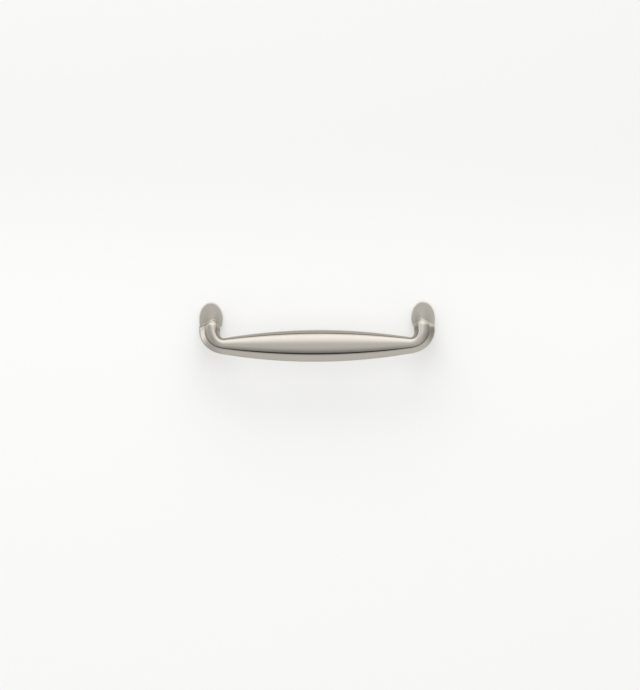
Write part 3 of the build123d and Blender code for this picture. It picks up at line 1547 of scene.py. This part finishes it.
@dataclass
class Studio:
    """The pale surface behind the pull, the soft light and the camera, in metres and degrees.

    Attributes:
        surface_colour: The surface's colour up to the height of the screw holes.
        surface_top_colour: Its colour above the fade, darker as painted shade against the top lamp's
            brighter light there.
        surface_fade: Heights between which one goes over to the other.
        mirrored_left: Painted reflection: the colour that the metal mirrors in place of the surface on
            the left.
        mirrored_right: The same painted reflection elsewhere.
        mirrored_span: Places across between which one goes over to the other.
        surface_glow: Colour that the surface gives off to the camera by itself.
        glow_share: Share of what the camera sees of the surface that comes from this.
        surface_size: Width and height of the surface.
        surface_gap: Gap between the surface and the feet.
        view_target: The point in the middle of the view.
        view_distance: Distance of the camera from it.
        view_elevation: Angle by which the camera looks down.
        view_roll: Angle by which the camera is turned about its own axis.
        view_height: Height of what the view shows.
        sensor: Size of the camera's sensor, in millimetres.
        backdrop: Colour that the camera sees where there is nothing.
        room_colour: Colour of the room's light.
        heights: The room's brightness by the height of a direction, from -1 (down) to 1 (up).
        sides: The same by its side, from -1 (left) to 1 (right), for level directions.
        lamps: The lamps.
    """

    surface_colour: Colour = (0.843, 0.843, 0.836)
    surface_top_colour: Colour = (0.77, 0.77, 0.765)
    surface_fade: Span = (0.0, 0.10)
    mirrored_left: Colour = (0.42, 0.415, 0.40)
    mirrored_right: Colour = (0.90, 0.89, 0.87)
    mirrored_span: Span = (-0.085, -0.05)
    surface_glow: Colour = (0.928, 0.928, 0.922)
    glow_share: float = 0.24
    surface_size: float = 3.0
    surface_gap: float = 0.0003
    view_target: Tuple[float, float, float] = (0.00136, 0.0, -0.0087)
    view_distance: float = 1.4
    view_elevation: float = 0.4
    view_roll: float = -0.28
    view_height: float = 0.3312
    sensor: float = 36.0
    backdrop: Colour = (0.93, 0.93, 0.92)
    room_colour: Colour = (1.0, 0.997, 0.985)
    heights: Tuple[Span, ...] = (
        (-1.0, 0.20),
        (-0.9, 0.50),
        (-0.68, 0.66),
        (-0.53, 0.70),
        (-0.02, 0.72),
        (0.26, 0.90),
        (0.39, 1.06),
        (0.53, 1.21),
        (0.67, 1.31),
        (0.88, 1.40),
        (1.0, 1.62),
    )
    sides: Tuple[Span, ...] = (
        (-1.0, 2.2),
        (-0.91, 2.0),
        (-0.84, 0.5),
        (-0.5, 0.52),
        (-0.13, 0.98),
        (0.3, 1.0),
        (0.62, 0.97),
        (0.81, 0.93),
        (0.88, 0.45),
        (0.96, 0.2),
    )
    lamps: Tuple[Lamp, ...] = (
        Lamp("top_lamp", place=(-0.15, -0.55, 0.95), size=(1.1, 0.6), power=4.6),
        Lamp("front_lamp", place=(-0.2, -1.6, 0.1), size=(1.6, 1.6), power=7.2),
    )

    def camera(self) -> bpy.types.Object:
        """Sets up the camera at the photograph's angle.

        Returns:
            The camera's object.
        """
        data = bpy.data.cameras.new("view")
        data.sensor_width = self.sensor
        data.lens = self.sensor * self.view_distance / self.view_height
        obj = add_object("view", data)
        lift = math.radians(self.view_elevation)
        back = Vector((0.0, -math.cos(lift), math.sin(lift)))
        obj.location = Vector(self.view_target) + back * self.view_distance
        roll = Quaternion((0.0, 0.0, 1.0), math.radians(self.view_roll))
        obj.rotation_euler = ((-back).to_track_quat("-Z", "Y") @ roll).to_euler()
        bpy.context.scene.camera = obj
        return obj

    def surface_tone(self, wires: Wires, place: Feed, in_mirror: Feed) -> bpy.types.NodeSocket:
        """Works out the surface's colour, with a painted reflection in its place where the metal
        mirrors it.

        Args:
            wires: The material's wires.
            place: The point on the surface.
            in_mirror: 1 for what is seen in a mirror, and 0 otherwise.

        Returns:
            The colour.
        """
        parts = wires.node("ShaderNodeSeparateXYZ", {0: place}).outputs
        # Painted reflection: the metal mirrors a dark colour on the left and a pale one elsewhere, not
        # the surface's own colour
        across = wires.rescale(parts["X"], self.mirrored_span, smooth=True)
        mirrored = wires.tint(across, self.mirrored_left, self.mirrored_right)
        # Painted shade: the surface is darker above the screw holes, where the top lamp lights it more
        height = wires.rescale(parts["Z"], self.surface_fade, smooth=True)
        painted = wires.tint(height, self.surface_colour, self.surface_top_colour)
        return wires.tint(in_mirror, painted, mirrored)

    def paint(self) -> bpy.types.Material:
        """Builds the surface's matt paint, which lets through what comes from behind it.

        Returns:
            The finished material.
        """
        made = bpy.data.materials.new("pale_surface")
        made.use_nodes = True
        wires, nodes = Wires(made.node_tree), made.node_tree.nodes
        geometry = wires.node("ShaderNodeNewGeometry").outputs
        path = wires.node("ShaderNodeLightPath").outputs
        matt = nodes["Principled BSDF"]
        matt.inputs["Roughness"].default_value = 1.0
        matt.inputs["Specular IOR Level"].default_value = 0.0
        tone = self.surface_tone(wires, geometry["Position"], path["Is Glossy Ray"])
        wires.feed(matt.inputs["Base Color"], tone)
        glow = wires.node("ShaderNodeEmission", {"Color": (*self.surface_glow, 1.0)})
        shown = wires.math("MULTIPLY", path["Is Camera Ray"], self.glow_share)
        feeds = {0: shown, 1: matt.outputs[0], 2: glow.outputs[0]}
        lit = wires.node("ShaderNodeMixShader", feeds)
        # The backs of the feet get their light through the surface, which they nearly touch
        near = wires.math("LESS_THAN", path["Ray Length"], 2 * self.surface_gap)
        gone = wires.math("MAXIMUM", geometry["Backfacing"], near)
        clear = wires.node("ShaderNodeBsdfTransparent")
        feeds = {0: gone, 1: lit.outputs[0], 2: clear.outputs[0]}
        mix = wires.node("ShaderNodeMixShader", feeds)
        wires.feed(nodes["Material Output"].inputs["Surface"], mix.outputs[0])
        return made

    def surface(self) -> bpy.types.Object:
        """Makes the upright surface. It is see-through from behind, so that the back can be viewed.

        Returns:
            The surface's object.
        """
        half = self.surface_size / 2
        corners = ((-half, -half), (half, -half), (half, half), (-half, half))
        mesh = bpy.data.meshes.new("surface")
        mesh.from_pydata([(x, self.surface_gap, z) for x, z in corners], [], [(0, 1, 2, 3)])
        mesh.materials.append(self.paint())
        obj = add_object("surface", mesh)
        return obj

    def room(self) -> bpy.types.World:
        """Builds the light of the room: bright above, dim below, and uneven from side to side.

        Returns:
            The world.
        """
        world = bpy.data.worlds.new("room")
        bpy.context.scene.world = world
        world.use_nodes = True
        wires = Wires(world.node_tree)
        direction = wires.node("ShaderNodeTexCoord").outputs["Generated"]
        parts = wires.node("ShaderNodeSeparateXYZ", {0: direction}).outputs
        level = wires.ramp(parts["Z"], self.heights)
        side = wires.ramp(parts["X"], self.sides)
        # The side counts in full for a level direction, and not at all straight up or down
        nearness = wires.math("SUBTRACT", 1.0, wires.math("ABSOLUTE", parts["Z"]))
        shift = wires.math("MULTIPLY_ADD", wires.math("SUBTRACT", side, 1.0), nearness, 1.0)
        feeds = {0: self.room_colour, "Scale": wires.math("MULTIPLY", level, shift)}
        lit = wires.node("ShaderNodeVectorMath", feeds, operation="SCALE").outputs[0]
        path = wires.node("ShaderNodeLightPath")
        shown = wires.tint(path.outputs["Is Camera Ray"], lit, self.backdrop)
        wires.feed(world.node_tree.nodes["Background"].inputs["Color"], shown)
        return world

    def build(self) -> None:
        """Sets up the whole studio."""
        bpy.context.scene.view_settings.view_transform = "Standard"
        self.camera()
        self.surface()
        self.room()
        for lamp in self.lamps:
            lamp.build(Vector((0.0, 0.0, 0.0)))


def main() -> None:
    """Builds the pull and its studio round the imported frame."""
    logging.basicConfig(level=logging.INFO, format="%(name)s: %(message)s")
    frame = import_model()
    body = next(iter(frame["bodies"]))
    Studio().build()
    group = BrushedGrain().group()

    casting = Casting(SATIN_NICKEL).build(group)
    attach(casting, body)
    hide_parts("pull")
    LOG.info("casting: %d faces", len(casting.data.polygons))

    threads = HoleThreads(TAPPED_METAL).build(group)
    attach(threads, body)
    LOG.info("threads: %d faces", len(threads.data.polygons))


if __name__ == "__main__":
    main()
